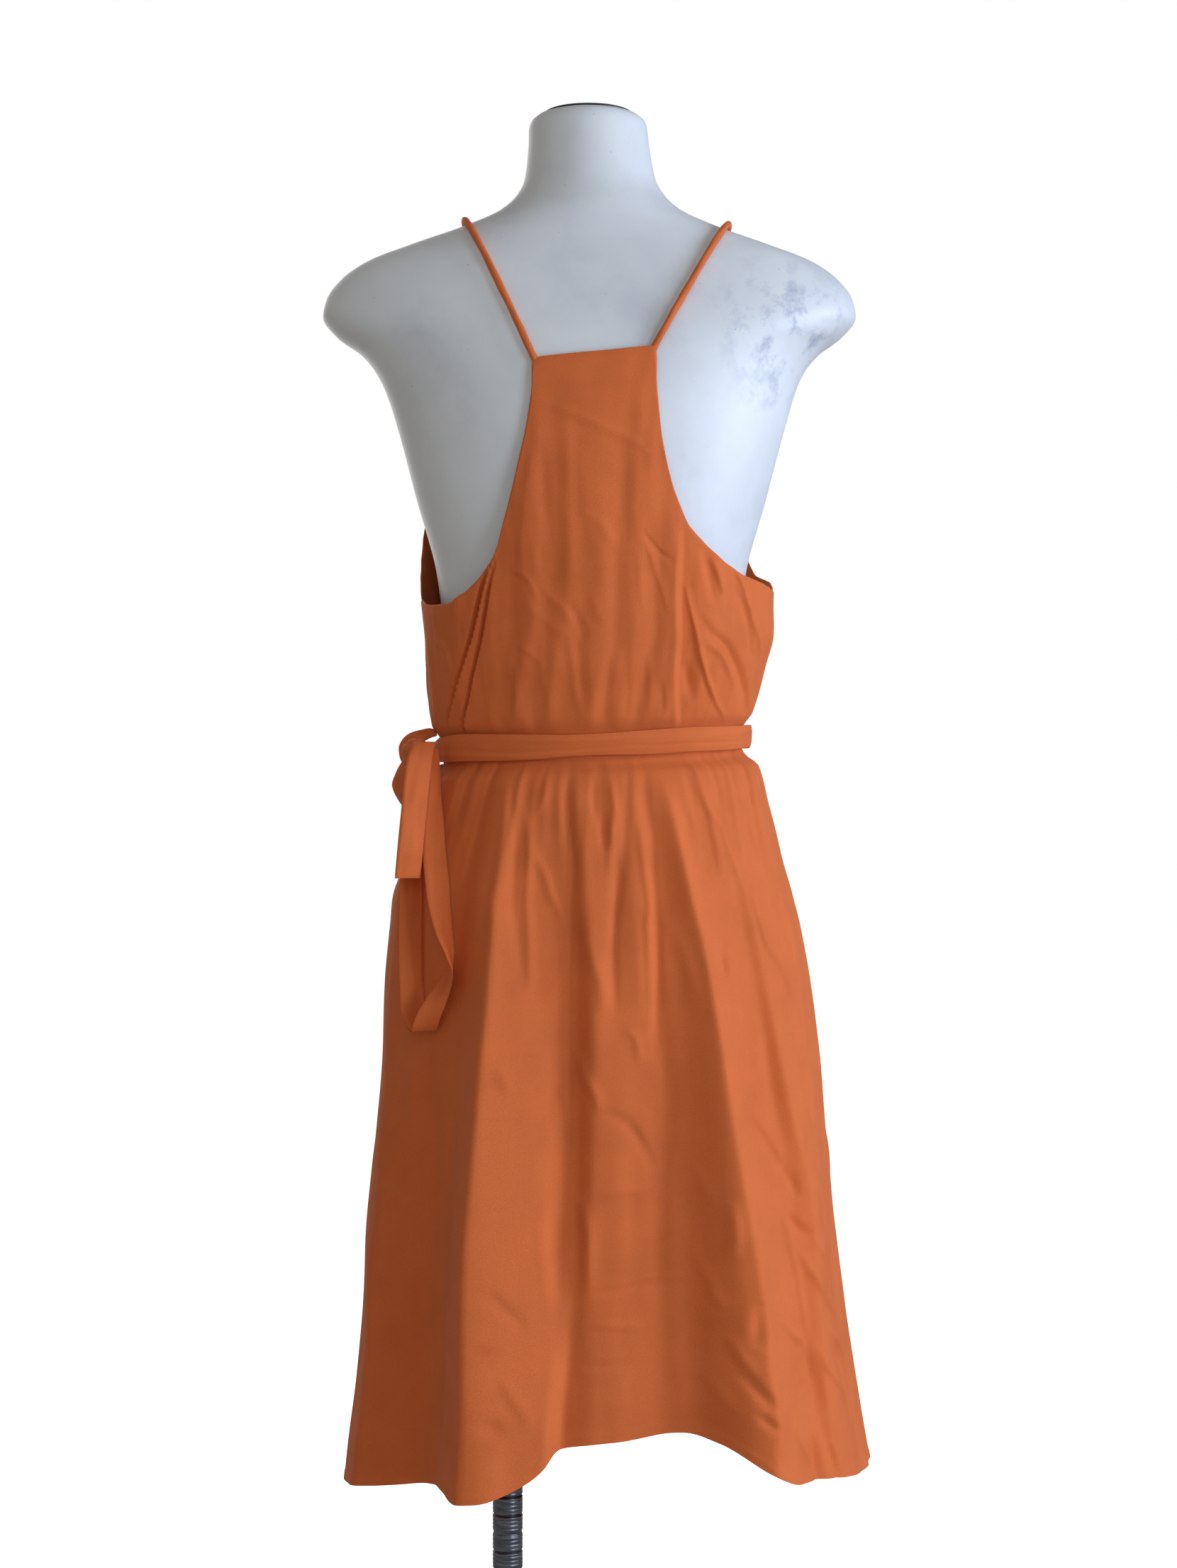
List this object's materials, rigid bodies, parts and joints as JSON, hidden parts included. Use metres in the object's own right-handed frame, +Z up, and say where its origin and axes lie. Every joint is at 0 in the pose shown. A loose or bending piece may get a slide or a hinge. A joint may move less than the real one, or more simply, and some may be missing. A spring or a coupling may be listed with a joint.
{
  "type": "wrap dress on a limbless dress form and stand",
  "caption": "Sleeveless knee-length wrap dress with racer back, strap ties and side-tied sash, on a limbless dress form with neck cap, round post and flat round base.",
  "frame": {"origin": "centre of the base plate's underside, on the floor below the form's axis", "axes": "+Z up, the dress's front faces -Y, the wearer's left (the knot's side) is +X"},
  "size_m": [0.4359, 0.37, 1.5335],
  "materials": {
    "orange_crepe": "soft matt twill crepe",
    "painted_canvas": "satin off-white paint, scuffed",
    "ringed_steel": "dark, with turned rings",
    "dark_steel": "satin black"
  },
  "bodies": {
    "root": {"dress_form": "painted_canvas", "neck_plate": "dark_steel", "pole_collar": "dark_steel", "pole": "ringed_steel", "pole_socket": "dark_steel", "base_plate": "dark_steel", "bodice_back": "orange_crepe", "bodice_front_left": "orange_crepe", "bodice_front_right": "orange_crepe", "skirt_back": "orange_crepe", "skirt_front_left": "orange_crepe", "skirt_front_right": "orange_crepe", "strap_left": "orange_crepe", "strap_right": "orange_crepe", "sash_band": "orange_crepe", "sash_knot": "orange_crepe", "sash_top_strand": "orange_crepe", "sash_end": "orange_crepe", "sash_loop": "orange_crepe", "sash_small_loop": "orange_crepe"}
  },
  "joints": []
}
